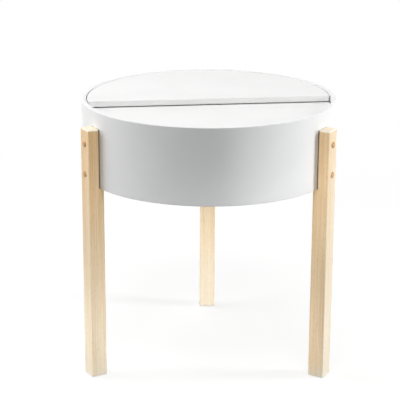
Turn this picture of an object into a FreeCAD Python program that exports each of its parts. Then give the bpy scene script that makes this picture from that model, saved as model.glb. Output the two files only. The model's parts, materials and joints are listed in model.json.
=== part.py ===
import FreeCAD, Part
import math
import os

import Sketcher

# Round end table: a white bent-plywood drum on three square wooden legs.  The
# rear part of the top is a lid that swings up on two pivot pins set in the rim,
# over a fixed front panel that lies one lid thickness lower.  Millimetres, +Z up.
# Every sub-part is built about the drum's vertical axis; its Placement moves it
# to the row frame, whose origin is the middle of the footprint at floor level.

SIZES = {
    # drum
    "drum_radius": 254.0,
    "rim_height": 546.0,
    "drum_height": 152.0,
    "wall": 9.0,
    "rim_ease": 1.5,
    # the line of the lid and everything that follows it is turned about Z
    "top_turn": 7.2,
    # lid
    "lid_radius": 243.0,
    "lid_thick": 12.0,
    "lid_drop": 0.3,
    "lid_lap": 18.5,
    "lid_ease": 1.0,
    # fixed front panel
    "panel_radius": 243.0,
    "panel_thick": 12.0,
    "panel_drop": 13.2,
    "panel_edge": 19.3,
    "panel_ease": 0.8,
    # cross rail under the panel's straight edge, and its corner blocks
    "rail_thick": 18.0,
    "rail_depth": 40.0,
    "block_size": 36.0,
    # curved ledges glued inside the wall
    "ledge_width": 15.0,
    "ledge_height": 18.0,
    "lid_ledge_start": 9.0,
    "lid_ledge_sweep": 162.0,
    "panel_ledge_start": 200.0,
    "panel_ledge_sweep": 140.0,
    "pad_radius": 5.0,
    "pad_thick": 1.5,
    "pad_circle": 235.5,
    # bottom board
    "base_gap": 3.0,
    "base_ring_width": 14.0,
    "base_ring_height": 9.0,
    "base_thick": 9.0,
    # pivots
    "pin_radius": 2.5,
    "pin_inner": 216.0,
    "pin_outer": 251.0,
    "pin_ease": 0.5,
    "pin_fit": 0.05,
    "bush_radius": 4.0,
    "bush_flange_radius": 5.5,
    "bush_flange": 1.0,
    "bush_standoff": 0.1,
    "bush_end": 252.0,
    "bush_seat": 252.2,
    # legs
    "leg_width": 34.0,
    "leg_depth": 32.5,
    "leg_upper_depth": 22.5,
    "leg_top": 513.0,
    "leg_ease": 1.8,
    "leg_top_ease": 1.5,
    "leg_end_ease": 1.2,
    "upper_bolt": 483.5,
    "bolt_spacing": 60.0,
    # bolts, washers, nuts and the plugs that cover them
    "bolt_radius": 3.0,
    "bolt_clear_radius": 3.3,
    "bolt_length": 45.0,
    "bolt_head_radius": 5.0,
    "bolt_head": 6.0,
    "socket_across_flats": 5.0,
    "socket_depth": 3.0,
    "washer_radius": 5.8,
    "washer_thick": 1.0,
    "plug_radius": 6.0,
    "plug_length": 5.5,
    # domed head: straight rim, shoulder and crown, measured from the leg's face
    "plug_rim": 0.5,
    "plug_shoulder": 1.8,
    "plug_shoulder_radius": 4.8,
    "plug_proud": 2.5,
    "plug_crown_radius": 2.6,
    "counterbore": 13.0,
    "nut_across_flats": 10.0,
    "nut_high": 5.0,
    # wooden backing blocks inside the wall, behind the legs
    "backing_width": 56.0,
    "backing_thick": 18.0,
    "backing_low": 416.0,
    "backing_high": 500.0,
    # panel screws
    "screw_radius": 1.75,
    "screw_head_radius": 3.5,
    "screw_head": 1.8,
    "screw_length": 26.0,
    "screw_circle": 237.0,
    # foot glides
    "glide_radius": 11.0,
    "glide_thick": 2.0,
    "glide_ease": 0.8,
    "nail_radius": 1.5,
    "nail_length": 12.0,
}

LEG_ANGLES = {"front_left": 210.0, "front_right": 330.0, "back": 90.0}
PANEL_SCREW_ANGLES = (-42.0, 0.0, 42.0)
REST_PAD_ANGLES = (-65.0, 0.0, 65.0)
FULL_TURN = 360.0
Z_AXIS = FreeCAD.Vector(0, 0, 1)

doc = FreeCAD.newDocument("end_table")
sheet = doc.addObject("Spreadsheet::Sheet", "dims")
for row, (alias, value) in enumerate(SIZES.items(), start=1):
    sheet.set(f"A{row}", alias)
    sheet.set(f"B{row}", str(value))
    sheet.setAlias(f"B{row}", alias)
doc.recompute()

# the back leg and its plugs reach further out than the drum's front, so the axis lies forward
AXIS_SET_BACK = "-(dims.leg_upper_depth + dims.plug_proud) / 2"
LOWER_BOLT = "(dims.upper_bolt - dims.bolt_spacing)"
DRUM_BOTTOM = "(dims.rim_height - dims.drum_height)"
INNER_RADIUS = "(dims.drum_radius - dims.wall)"
PIVOT_HEIGHT = "(dims.rim_height - dims.lid_drop - dims.lid_thick / 2)"
LEG_FACE = "(dims.drum_radius + dims.leg_upper_depth)"
BLOCK_FACE = "(dims.drum_radius - dims.wall - dims.backing_thick)"

sub_parts = []


def place(obj, height="0", turn="0"):
    """Put a sub-part on the drum's axis, at a height and turned about Z."""
    obj.Placement = FreeCAD.Placement(FreeCAD.Vector(), FreeCAD.Rotation(Z_AXIS, 1))
    obj.setExpression(".Placement.Base.y", AXIS_SET_BACK)
    obj.setExpression(".Placement.Base.z", height)
    obj.setExpression(".Placement.Rotation.Angle", turn)
    sub_parts.append(obj)
    return obj


def new_body(label):
    body = doc.addObject("PartDesign::Body", label)
    body.Label = label
    return body


def add_sketch(body, role, name, offset=None, turn=None):
    """Sketch on one of the body's origin planes, moved along its normal or turned about Z."""
    plane = next(f for f in body.Origin.OriginFeatures if f.Role == role)
    sketch = body.newObject("Sketcher::SketchObject", f"{body.Name}_{name}")
    sketch.AttachmentSupport = [(plane, "")]
    sketch.MapMode = "FlatFace"
    if offset:
        sketch.setExpression(".AttachmentOffset.Base.z", offset)
    if turn:
        upright = FreeCAD.Vector(0, 1, 0)
        sketch.AttachmentOffset = FreeCAD.Placement(
            FreeCAD.Vector(), FreeCAD.Rotation(upright, 1))
        sketch.setExpression(".AttachmentOffset.Rotation.Angle", turn)
    return sketch


def dimension(sketch, kind, geometry, expression, guess, point=None):
    """One driving dimension, bound to the sheet."""
    place_of = (geometry,) if point is None else (geometry, point)
    index = sketch.addConstraint(Sketcher.Constraint(kind, *place_of, guess))
    name = f"size_{index}"
    sketch.renameConstraint(index, name)
    sketch.setExpression(f"Constraints.{name}", expression)


def polygon(sketch, corners):
    """Closed outline; a corner is its two distances from the sketch's axes."""
    count = len(corners)
    guess = []
    for k in range(count):
        angle = 2 * math.pi * k / count
        guess.append(FreeCAD.Vector(100 + 20 * math.cos(angle), 100 + 20 * math.sin(angle), 0))
    first = len(sketch.Geometry)
    for k in range(count):
        sketch.addGeometry(Part.LineSegment(guess[k], guess[(k + 1) % count]), False)
    for k in range(count):
        following = first + (k + 1) % count
        sketch.addConstraint(Sketcher.Constraint("Coincident", first + k, 2, following, 1))
    for k, (across, up) in enumerate(corners):
        dimension(sketch, "DistanceX", first + k, across, guess[k].x, point=1)
        dimension(sketch, "DistanceY", first + k, up, guess[k].y, point=1)


def circle(sketch, radius, across="0", up="0"):
    guess = FreeCAD.Vector(10, 10, 0)
    geometry = sketch.addGeometry(Part.Circle(guess, Z_AXIS, 5.0), False)
    dimension(sketch, "Radius", geometry, radius, 5.0)
    dimension(sketch, "DistanceX", geometry, across, guess.x, point=3)
    dimension(sketch, "DistanceY", geometry, up, guess.y, point=3)


def hexagon(sketch, across_flats):
    """Hexagon about the sketch's origin, with a corner at the top and one at the bottom."""
    half = f"{across_flats} / 2"
    corner = f"{across_flats} / sqrt(3)"
    polygon(sketch, [
        (half, f"-{corner} / 2"),
        (half, f"{corner} / 2"),
        ("0", corner),
        (f"-{half}", f"{corner} / 2"),
        (f"-{half}", f"-{corner} / 2"),
        ("0", f"-{corner}"),
    ])


def segment(sketch, radius, edge, rear):
    """Part of a round board in front of, or behind, a straight edge at y = edge."""
    middle = 0.5 * math.pi if rear else 1.5 * math.pi
    half = 0.55 * math.pi if rear else 0.45 * math.pi
    round_edge = Part.Circle(FreeCAD.Vector(), Z_AXIS, 200.0)
    arc = sketch.addGeometry(Part.ArcOfCircle(round_edge, middle - half, middle + half), False)
    start, end = (round_edge.value(middle - half), round_edge.value(middle + half))
    line = sketch.addGeometry(Part.LineSegment(end, start), False)
    sketch.addConstraint(Sketcher.Constraint("Coincident", arc, 2, line, 1))
    sketch.addConstraint(Sketcher.Constraint("Coincident", line, 2, arc, 1))
    sketch.addConstraint(Sketcher.Constraint("Coincident", arc, 3, -1, 1))
    sketch.addConstraint(Sketcher.Constraint("Horizontal", line))
    dimension(sketch, "Radius", arc, radius, 200.0)
    dimension(sketch, "DistanceY", line, edge, start.y, point=1)


def pad(body, sketch, length):
    feature = body.newObject("PartDesign::Pad", f"{body.Name}_pad")
    feature.Profile = sketch
    feature.setExpression("Length", length)
    doc.recompute()
    return feature


def revolve(body, sketch, axis="V_Axis", angle=None):
    feature = body.newObject("PartDesign::Revolution", f"{body.Name}_turned")
    feature.Profile = sketch
    feature.ReferenceAxis = (sketch, [axis])
    feature.Angle = FULL_TURN
    if angle:
        feature.setExpression("Angle", angle)
    doc.recompute()
    return feature


def pocket(body, sketch, length, both_ways=False, reverse=False):
    """Cut a pocket and make sure that it removed material."""
    before = body.Shape.Volume
    feature = body.newObject("PartDesign::Pocket", f"{body.Name}_pocket")
    feature.Profile = sketch
    feature.Type = "Length"
    feature.Midplane = both_ways
    feature.Reversed = reverse
    feature.setExpression("Length", length)
    doc.recompute()
    if body.Shape.Volume >= before - 1e-6:
        raise RuntimeError(f"{feature.Name} cuts nothing")
    return feature


def ease_edges(body, base, size, chosen, kind="Chamfer"):
    """Chamfer, or round, the edges of a feature that a test picks out."""
    names = []
    for number, edge in enumerate(base.Shape.Edges, start=1):
        if chosen(edge):
            names.append(f"Edge{number}")
    feature = body.newObject(f"PartDesign::{kind}", f"{body.Name}_eased")
    feature.Base = (base, names)
    feature.setExpression("Radius" if kind == "Fillet" else "Size", size)
    doc.recompute()
    return feature


def at_height(edge, height):
    box = edge.BoundBox
    return abs(box.ZMin - height) < 1e-3 and abs(box.ZMax - height) < 1e-3


def upright_edge(edge):
    box = edge.BoundBox
    return box.ZLength > 20 and box.XLength < 1e-3 and box.YLength < 1e-3


def against_drum(edge):
    """True for an edge of a leg that lies in the face glued to the drum."""
    return abs(edge.BoundBox.XMax - SIZES["drum_radius"]) < 1e-3


def polar_copies(body, feature, occurrences):
    """Repeat a feature evenly round the drum's axis."""
    axis = next(f for f in body.Origin.OriginFeatures if f.Role == "Z_Axis")
    pattern = body.newObject("PartDesign::PolarPattern", f"{body.Name}_round")
    pattern.Originals = [feature]
    pattern.Axis = (axis, [""])
    pattern.Angle = FULL_TURN
    pattern.Occurrences = occurrences
    body.Tip = pattern
    doc.recompute()
    return pattern


# --- drum ------------------------------------------------------------------

def make_drum_shell():
    """Bent-plywood ring with an eased rim, bolt holes and two blind pivot seats."""
    body = new_body("drum_shell")
    profile = add_sketch(body, "XZ_Plane", "profile")
    polygon(profile, [
        (INNER_RADIUS, "0"),
        ("dims.drum_radius", "0"),
        ("dims.drum_radius", "dims.drum_height"),
        (INNER_RADIUS, "dims.drum_height"),
    ])
    wall = revolve(body, profile)
    height = SIZES["drum_height"]
    ease_edges(body, wall, "dims.rim_ease", lambda e: at_height(e, height) or at_height(e, 0))
    seats = add_sketch(body, "YZ_Plane", "pivot_seats", turn="dims.top_turn")
    circle(seats, "dims.bush_radius", "0", f"{PIVOT_HEIGHT} - {DRUM_BOTTOM}")
    pocket(body, seats, "dims.bush_seat * 2", both_ways=True)
    holes = add_sketch(body, "XZ_Plane", "bolt_holes")
    circle(holes, "dims.bolt_clear_radius", "0", f"dims.upper_bolt - {DRUM_BOTTOM}")
    circle(holes, "dims.bolt_clear_radius", "0", f"{LOWER_BOLT} - {DRUM_BOTTOM}")
    # a sketch on the XZ plane faces -Y, so its pocket runs to +Y, where the back leg stands
    pair = pocket(body, holes, "dims.drum_radius + dims.wall")
    polar_copies(body, pair, len(LEG_ANGLES))
    place(body, DRUM_BOTTOM)


def make_curved_strip(label, start, sweep, top, width, height):
    """Strip glued to the inside of the wall, its top face at the given height."""
    body = new_body(label)
    profile = add_sketch(body, "XZ_Plane", "profile")
    polygon(profile, [
        (f"{INNER_RADIUS} - {width}", "0"),
        (INNER_RADIUS, "0"),
        (INNER_RADIUS, height),
        (f"{INNER_RADIUS} - {width}", height),
    ])
    revolve(body, profile, angle=sweep)
    return place(body, f"{top} - {height}", start)


def make_base():
    """Ring at the bottom of the wall, and the round board that lies on it."""
    ring_top = f"({DRUM_BOTTOM} + dims.base_gap + dims.base_ring_height)"
    make_curved_strip("base_ring", "0", "360", ring_top,
                      "dims.base_ring_width", "dims.base_ring_height")
    body = new_body("base_panel")
    outline = add_sketch(body, "XY_Plane", "outline")
    circle(outline, INNER_RADIUS)
    pad(body, outline, "dims.base_thick")
    place(body, ring_top)


# --- top -------------------------------------------------------------------

def make_lift_lid():
    """Rear board with eased edges; its straight edge laps past the pivot axis."""
    body = new_body("lift_lid")
    outline = add_sketch(body, "XY_Plane", "outline")
    segment(outline, "dims.lid_radius", "-dims.lid_lap", rear=True)
    board = pad(body, outline, "dims.lid_thick")
    thick = SIZES["lid_thick"]
    ease_edges(body, board, "dims.lid_ease", lambda e: at_height(e, thick) or at_height(e, 0))
    bore = add_sketch(body, "YZ_Plane", "pin_bore", offset="dims.pin_inner")
    circle(bore, "dims.pin_radius + dims.pin_fit", "0", "dims.lid_thick / 2")
    right = pocket(body, bore, "dims.lid_radius", reverse=True)
    mirror = body.newObject("PartDesign::Mirrored", "lift_lid_both_ends")
    mirror.Originals = [right]
    side = next(f for f in body.Origin.OriginFeatures if f.Role == "YZ_Plane")
    mirror.MirrorPlane = (side, [""])
    body.Tip = mirror
    place(body, "dims.rim_height - dims.lid_drop - dims.lid_thick", "dims.top_turn")


def make_front_panel():
    """Fixed board over the front of the drum, with blind holes for its screws."""
    body = new_body("front_panel")
    outline = add_sketch(body, "XY_Plane", "outline")
    segment(outline, "dims.panel_radius", "-dims.panel_edge", rear=False)
    board = pad(body, outline, "dims.panel_thick")
    thick = SIZES["panel_thick"]
    ease_edges(body, board, "dims.panel_ease", lambda e: at_height(e, thick))
    screws = add_sketch(body, "XY_Plane", "screw_holes")
    for angle in PANEL_SCREW_ANGLES:
        circle(screws, "dims.screw_radius",
               f"dims.screw_circle * sin({angle} deg)", f"-dims.screw_circle * cos({angle} deg)")
    pocket(body, screws, "dims.screw_length - dims.ledge_height", reverse=True)
    place(body, "dims.rim_height - dims.panel_drop - dims.panel_thick", "dims.top_turn")


def make_ledges():
    """Curved ledges: one carries the lid's pads, the other the front panel."""
    make_curved_strip("lid_ledge", "dims.lid_ledge_start + dims.top_turn", "dims.lid_ledge_sweep",
                      "(dims.rim_height - dims.lid_drop - dims.lid_thick - dims.pad_thick)",
                      "dims.ledge_width", "dims.ledge_height")
    body = make_curved_strip(
        "panel_ledge", "dims.panel_ledge_start + dims.top_turn", "dims.panel_ledge_sweep",
        "(dims.rim_height - dims.panel_drop - dims.panel_thick)",
        "dims.ledge_width", "dims.ledge_height")
    # the strip starts at its own +X, so the panel's middle is half the sweep further on
    screws = add_sketch(body, "XY_Plane", "screw_holes")
    for angle in PANEL_SCREW_ANGLES:
        along = f"(dims.panel_ledge_sweep / 2 + {angle}) * 1 deg"
        circle(screws, "dims.screw_radius",
               f"dims.screw_circle * cos({along})", f"dims.screw_circle * sin({along})")
    pocket(body, screws, "dims.ledge_height", reverse=True)


def make_cross_rail():
    """Rail under the panel's straight edge; its ends fit the curve of the wall."""
    rail_top = "dims.rim_height - dims.panel_drop - dims.panel_thick"
    bar = doc.addObject("Part::Box", "rail_bar")
    bar.setExpression("Length", f"{INNER_RADIUS} * 2")
    bar.setExpression("Width", "dims.rail_thick")
    bar.setExpression("Height", "dims.rail_depth")
    bar.setExpression(".Placement.Base.x", f"-{INNER_RADIUS}")
    bar.setExpression(".Placement.Base.y", "-dims.panel_edge - dims.rail_thick")
    bore = doc.addObject("Part::Cylinder", "rail_bore")
    bore.setExpression("Radius", INNER_RADIUS)
    bore.setExpression("Height", "dims.rail_depth")
    rail = doc.addObject("Part::Common", "cross_rail")
    rail.Label = "cross_rail"
    rail.Base = bar
    rail.Tool = bore
    place(rail, f"{rail_top} - dims.rail_depth", "dims.top_turn")
    for label, side in (("left", -1), ("right", 1)):
        post = doc.addObject("Part::Box", f"post_{label}")
        post.setExpression("Length", "dims.block_size")
        post.setExpression("Width", "dims.block_size / 2")
        post.setExpression("Height", "dims.rail_depth")
        inner = f"{INNER_RADIUS} - dims.block_size"
        far = inner if side > 0 else f"-{INNER_RADIUS}"
        post.setExpression(".Placement.Base.x", far)
        post.setExpression(".Placement.Base.y",
                           "-dims.panel_edge - dims.rail_thick - dims.block_size / 2")
        limit = doc.addObject("Part::Cylinder", f"limit_{label}")
        limit.setExpression("Radius", INNER_RADIUS)
        limit.setExpression("Height", "dims.rail_depth")
        block = doc.addObject("Part::Common", f"rail_block_{label}")
        block.Label = f"rail_block_{label}"
        block.Base = post
        block.Tool = limit
        place(block, f"{rail_top} - dims.rail_depth", "dims.top_turn")


def make_rest_pads():
    """Three felt discs on the rear ledge, under the lid."""
    body = new_body("lid_rest_pads")
    outline = add_sketch(body, "XY_Plane", "outline")
    for angle in REST_PAD_ANGLES:
        circle(outline, "dims.pad_radius",
               f"dims.pad_circle * sin({angle} deg)", f"dims.pad_circle * cos({angle} deg)")
    pad(body, outline, "dims.pad_thick")
    place(body, "dims.rim_height - dims.lid_drop - dims.lid_thick - dims.pad_thick",
          "dims.top_turn")


def make_pivots():
    """Steel pins fixed in the lid's ends, turning in flanged bushes in the wall."""
    for label, turn in (("left", "dims.top_turn + 180"), ("right", "dims.top_turn")):
        pin = new_body(f"pivot_pin_{label}")
        profile = add_sketch(pin, "XZ_Plane", "profile")
        polygon(profile, [
            ("dims.pin_inner", "0"),
            ("dims.pin_outer", "0"),
            ("dims.pin_outer", "dims.pin_radius - dims.pin_ease"),
            ("dims.pin_outer - dims.pin_ease", "dims.pin_radius"),
            ("dims.pin_inner", "dims.pin_radius"),
        ])
        revolve(pin, profile, axis="H_Axis")
        place(pin, PIVOT_HEIGHT, turn)

        bush = new_body(f"pivot_bush_{label}")
        section = add_sketch(bush, "XZ_Plane", "section")
        bore = "dims.pin_radius + dims.pin_fit"
        # a flat flange on a curved wall: it stands off by what the curve rises under it
        flange_back = f"{INNER_RADIUS} - dims.bush_standoff"
        flange_face = f"{flange_back} - dims.bush_flange"
        polygon(section, [
            (flange_face, bore),
            ("dims.bush_end", bore),
            ("dims.bush_end", "dims.bush_radius"),
            (flange_back, "dims.bush_radius"),
            (flange_back, "dims.bush_flange_radius"),
            (flange_face, "dims.bush_flange_radius"),
        ])
        revolve(bush, section, axis="H_Axis")
        place(bush, PIVOT_HEIGHT, turn)


# --- legs ------------------------------------------------------------------

def make_leg(label, angle):
    """Square leg, rebated for the drum, with two counterbored bolt holes."""
    body = new_body(f"leg_{label}")
    section = add_sketch(body, "XY_Plane", "section")
    inner = f"{LEG_FACE} - dims.leg_depth"
    half = "dims.leg_width / 2"
    polygon(section, [
        (inner, f"-{half}"),
        (LEG_FACE, f"-{half}"),
        (LEG_FACE, half),
        (inner, half),
    ])
    pad(body, section, "dims.leg_top - dims.glide_thick")
    rebate = add_sketch(body, "XZ_Plane", "rebate")
    shoulder = f"{DRUM_BOTTOM} - dims.glide_thick"
    polygon(rebate, [
        (f"{inner} - 1", shoulder),
        ("dims.drum_radius", shoulder),
        ("dims.drum_radius", "dims.leg_top"),
        (f"{inner} - 1", "dims.leg_top"),
    ])
    notched = pocket(body, rebate, "dims.leg_width * 2", both_ways=True)
    # the edges that meet the drum stay sharp
    rounded = ease_edges(body, notched, "dims.leg_ease",
                         lambda e: upright_edge(e) and not against_drum(e), kind="Fillet")
    top = SIZES["leg_top"] - SIZES["glide_thick"]
    topped = ease_edges(body, rounded, "dims.leg_top_ease",
                        lambda e: at_height(e, top) and not against_drum(e), kind="Fillet")
    ease_edges(body, topped, "dims.leg_end_ease", lambda e: at_height(e, 0))
    bolts = add_sketch(body, "YZ_Plane", "bolt_holes", offset=LEG_FACE)
    circle(bolts, "dims.bolt_clear_radius", "0", "dims.upper_bolt - dims.glide_thick")
    circle(bolts, "dims.bolt_clear_radius", "0", f"{LOWER_BOLT} - dims.glide_thick")
    doc.recompute()
    hole = body.newObject("PartDesign::Hole", f"{body.Name}_counterbored")
    hole.Profile = bolts
    doc.recompute()
    hole.Threaded = False
    hole.DepthType = "Dimension"
    hole.DrillPoint = "Flat"
    hole.HoleCutType = "Counterbore"
    hole.HoleCutCustomValues = True
    hole.setExpression("Diameter", "dims.bolt_clear_radius * 2")
    hole.setExpression("Depth", "dims.leg_upper_depth + 1")
    hole.setExpression("HoleCutDiameter", "dims.plug_radius * 2")
    hole.setExpression("HoleCutDepth", "dims.counterbore")
    doc.recompute()
    nail = add_sketch(body, "XY_Plane", "nail_hole")
    circle(nail, "dims.nail_radius", f"{LEG_FACE} - dims.leg_depth / 2")
    pocket(body, nail, "dims.nail_length", reverse=True)
    place(body, "dims.glide_thick", str(angle))


def make_foot_glide(label, angle):
    """Nail-on glide: a rounded disc on a short nail."""
    body = new_body(f"foot_glide_{label}")
    profile = add_sketch(body, "XZ_Plane", "profile")
    polygon(profile, [
        ("0", "0"),
        ("dims.glide_radius - dims.glide_ease", "0"),
        ("dims.glide_radius", "dims.glide_ease"),
        ("dims.glide_radius", "dims.glide_thick"),
        ("dims.nail_radius", "dims.glide_thick"),
        ("dims.nail_radius", "dims.glide_thick + dims.nail_length"),
        ("0", "dims.glide_thick + dims.nail_length"),
    ])
    revolve(body, profile)
    place(body)
    reach = f"({LEG_FACE} - dims.leg_depth / 2)"
    body.setExpression(".Placement.Base.x", f"{reach} * cos({angle} deg)")
    body.setExpression(".Placement.Base.y",
                       f"{reach} * sin({angle} deg) + {AXIS_SET_BACK}")


def make_backing_block(label, angle):
    """Block glued inside the wall, which carries the nuts of one leg's bolts."""
    rough = doc.addObject("Part::Box", f"backing_rough_{label}")
    rough.setExpression("Length", "dims.backing_thick")
    rough.setExpression("Width", "dims.backing_width")
    rough.setExpression("Height", "dims.backing_high - dims.backing_low")
    rough.setExpression(".Placement.Base.x", BLOCK_FACE)
    rough.setExpression(".Placement.Base.y", "-dims.backing_width / 2")
    curve = doc.addObject("Part::Cylinder", f"backing_curve_{label}")
    curve.setExpression("Radius", INNER_RADIUS)
    curve.setExpression("Height", "dims.backing_high - dims.backing_low")
    blank = doc.addObject("Part::Common", f"backing_blank_{label}")
    blank.Base = rough
    blank.Tool = curve
    previous = blank
    for spot, height in (("upper", "dims.upper_bolt"), ("lower", LOWER_BOLT)):
        drill = doc.addObject("Part::Cylinder", f"bolt_{spot}_{label}")
        drill.setExpression("Radius", "dims.bolt_clear_radius")
        drill.setExpression("Height", "dims.backing_thick * 2")
        drill.Placement = FreeCAD.Placement(
            FreeCAD.Vector(), FreeCAD.Rotation(FreeCAD.Vector(0, 1, 0), 90))
        drill.setExpression(".Placement.Base.x", BLOCK_FACE)
        drill.setExpression(".Placement.Base.z", f"{height} - dims.backing_low")
        cut = doc.addObject("Part::Cut", f"backing_drilled_{spot}_{label}")
        cut.Base = previous
        cut.Tool = drill
        previous = cut
    previous.Label = f"backing_block_{label}"
    place(previous, "dims.backing_low", str(angle))


def make_plugs(label, angle):
    """Two button plugs that close one leg's counterbores, their domed heads proud of it."""
    body = new_body(f"plugs_{label}")
    section = add_sketch(body, "XZ_Plane", "section")
    polygon(section, [
        (f"{LEG_FACE} - dims.plug_length", "0"),
        (f"{LEG_FACE} + dims.plug_proud", "0"),
        (f"{LEG_FACE} + dims.plug_proud", "dims.plug_crown_radius"),
        (f"{LEG_FACE} + dims.plug_shoulder", "dims.plug_shoulder_radius"),
        (f"{LEG_FACE} + dims.plug_rim", "dims.plug_radius"),
        (f"{LEG_FACE} - dims.plug_length", "dims.plug_radius"),
    ])
    turned = revolve(body, section, axis="H_Axis")
    upward = next(f for f in body.Origin.OriginFeatures if f.Role == "Z_Axis")
    pattern = body.newObject("PartDesign::LinearPattern", f"{body.Name}_pair")
    pattern.Originals = [turned]
    pattern.Direction = (upward, [""])
    pattern.Occurrences = 2
    pattern.setExpression("Length", "dims.bolt_spacing")
    body.Tip = pattern
    place(body, LOWER_BOLT, str(angle))


def repeat_for_legs(body, features):
    """Repeat one fastener, made about a radial line, up and round the drum."""
    axis = next(f for f in body.Origin.OriginFeatures if f.Role == "Z_Axis")
    many = body.newObject("PartDesign::MultiTransform", f"{body.Name}_all")
    many.Originals = features
    upward = body.newObject("PartDesign::LinearPattern", f"{body.Name}_up")
    upward.Direction = (axis, [""])
    upward.setExpression("Length", "dims.bolt_spacing")
    upward.Occurrences = 2
    around = body.newObject("PartDesign::PolarPattern", f"{body.Name}_round")
    around.Axis = (axis, [""])
    around.Angle = FULL_TURN
    around.Occurrences = len(LEG_ANGLES)
    many.Transformations = [upward, around]
    body.Tip = many
    place(body, LOWER_BOLT, str(LEG_ANGLES["back"]))


def make_leg_fasteners():
    """Socket-head bolts under the plugs, washers under the heads, nuts on the blocks."""
    seat = f"({LEG_FACE} - dims.counterbore)"
    under_head = f"({seat} + dims.washer_thick)"
    head_face = f"({under_head} + dims.bolt_head)"

    bolts = new_body("leg_bolts")
    section = add_sketch(bolts, "XZ_Plane", "section")
    polygon(section, [
        (f"{under_head} - dims.bolt_length", "0"),
        (head_face, "0"),
        (head_face, "dims.bolt_head_radius"),
        (under_head, "dims.bolt_head_radius"),
        (under_head, "dims.bolt_radius"),
        (f"{under_head} - dims.bolt_length", "dims.bolt_radius"),
    ])
    turned = revolve(bolts, section, axis="H_Axis")
    key = add_sketch(bolts, "YZ_Plane", "socket", offset=head_face)
    hexagon(key, "dims.socket_across_flats")
    repeat_for_legs(bolts, [turned, pocket(bolts, key, "dims.socket_depth")])

    washers = new_body("leg_washers")
    ring = add_sketch(washers, "YZ_Plane", "ring", offset=seat)
    circle(ring, "dims.washer_radius")
    circle(ring, "dims.bolt_clear_radius")
    repeat_for_legs(washers, [pad(washers, ring, "dims.washer_thick")])

    nuts = new_body("leg_nuts")
    outline = add_sketch(nuts, "YZ_Plane", "outline", offset=f"{BLOCK_FACE} - dims.nut_high")
    hexagon(outline, "dims.nut_across_flats")
    circle(outline, "dims.bolt_radius + dims.pin_fit")
    repeat_for_legs(nuts, [pad(nuts, outline, "dims.nut_high")])


def make_panel_screws():
    """Pan-head screws driven up through the front ledge into the fixed panel."""
    body = new_body("panel_screws")
    shanks = add_sketch(body, "XY_Plane", "shanks", offset="dims.screw_head")
    heads = add_sketch(body, "XY_Plane", "heads")
    for angle in PANEL_SCREW_ANGLES:
        spot = (f"dims.screw_circle * sin({angle} deg)", f"-dims.screw_circle * cos({angle} deg)")
        circle(shanks, "dims.screw_radius", *spot)
        circle(heads, "dims.screw_head_radius", *spot)
    pad(body, shanks, "dims.screw_length")
    pad(body, heads, "dims.screw_head")
    place(body, "dims.rim_height - dims.panel_drop - dims.panel_thick - dims.ledge_height"
          " - dims.screw_head", "dims.top_turn")


make_drum_shell()
make_base()
make_ledges()
make_cross_rail()
make_front_panel()
make_panel_screws()
make_rest_pads()
make_lift_lid()
make_pivots()
for side, bearing in LEG_ANGLES.items():
    make_leg(side, bearing)
    make_plugs(side, bearing)
    make_backing_block(side, bearing)
    make_foot_glide(side, bearing)
make_leg_fasteners()

doc.recompute()

for obj in doc.Objects:
    if "Invalid" in obj.State or "Error" in obj.State:
        raise RuntimeError(f"{obj.Name} did not compute: {obj.State}")
for part in sub_parts:
    if part.Shape.isNull() or not part.Shape.isValid():
        raise RuntimeError(f"{part.Label} has no valid shape")

os.makedirs("parts", exist_ok=True)
for part in sub_parts:
    part.Shape.exportStep(os.path.join("parts", f"{part.Label}.step"))
    box = part.Shape.BoundBox
    print(f"{part.Label:26s} solids {len(part.Shape.Solids)}  volume {part.Shape.Volume:10.0f}"
          f"  z {box.ZMin:6.1f} to {box.ZMax:6.1f}")
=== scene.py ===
"""Looks of the lift top end table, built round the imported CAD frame.  Metres, +Z up."""

import json
import math

import bmesh
import bpy
from mathutils import Matrix, Vector


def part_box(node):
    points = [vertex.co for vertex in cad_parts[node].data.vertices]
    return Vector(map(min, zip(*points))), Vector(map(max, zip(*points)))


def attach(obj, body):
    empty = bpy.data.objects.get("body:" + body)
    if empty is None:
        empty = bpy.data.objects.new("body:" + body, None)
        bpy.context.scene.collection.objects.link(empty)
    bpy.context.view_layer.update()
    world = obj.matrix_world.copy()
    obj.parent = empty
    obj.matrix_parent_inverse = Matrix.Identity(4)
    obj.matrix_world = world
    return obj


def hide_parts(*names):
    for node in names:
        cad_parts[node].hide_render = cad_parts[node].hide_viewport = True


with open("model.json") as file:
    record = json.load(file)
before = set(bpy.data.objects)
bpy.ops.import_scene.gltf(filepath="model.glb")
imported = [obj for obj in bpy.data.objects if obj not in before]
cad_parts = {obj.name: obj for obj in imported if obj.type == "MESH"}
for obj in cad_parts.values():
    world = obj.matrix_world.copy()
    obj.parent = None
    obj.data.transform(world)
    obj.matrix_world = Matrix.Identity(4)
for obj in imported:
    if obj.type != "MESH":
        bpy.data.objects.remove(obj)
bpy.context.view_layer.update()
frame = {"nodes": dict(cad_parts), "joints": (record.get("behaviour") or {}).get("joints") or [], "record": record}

MM = 0.001
LEGS = ("front_left", "front_right", "back")
# edges that turn by more than this are shaded sharp
SHARP_CORNER = math.radians(35)
# name of the mesh attribute that marks worn edges, and on the legs' tops the edges with a painted highlight
EDGE_MASK = "edge"
# points this close are one point, and points this close lie on the same plane or circle
WELD = 1e-6
SAME = 0.1 * MM
# how much deeper the blind seats in the wall are than the bushes in them
SEAT_SPARE = 0.2 * MM

# --- sizes read from the frame --------------------------------------------------


def spread_of(node):
    """Distances of a node's points from the drum's axis, the least and the greatest."""
    reach = [math.hypot(v.co.x - AXIS.x, v.co.y - AXIS.y) for v in frame["nodes"][node].data.vertices]
    return min(reach), max(reach)


def extent(node, turn, axis="y"):
    """Lowest and highest coordinate of a node in the drum's frame turned about Z."""
    back = Matrix.Rotation(-turn, 3, "Z")
    values = [getattr(back @ (v.co - AXIS), axis) for v in frame["nodes"][node].data.vertices]
    return min(values), max(values)


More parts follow.
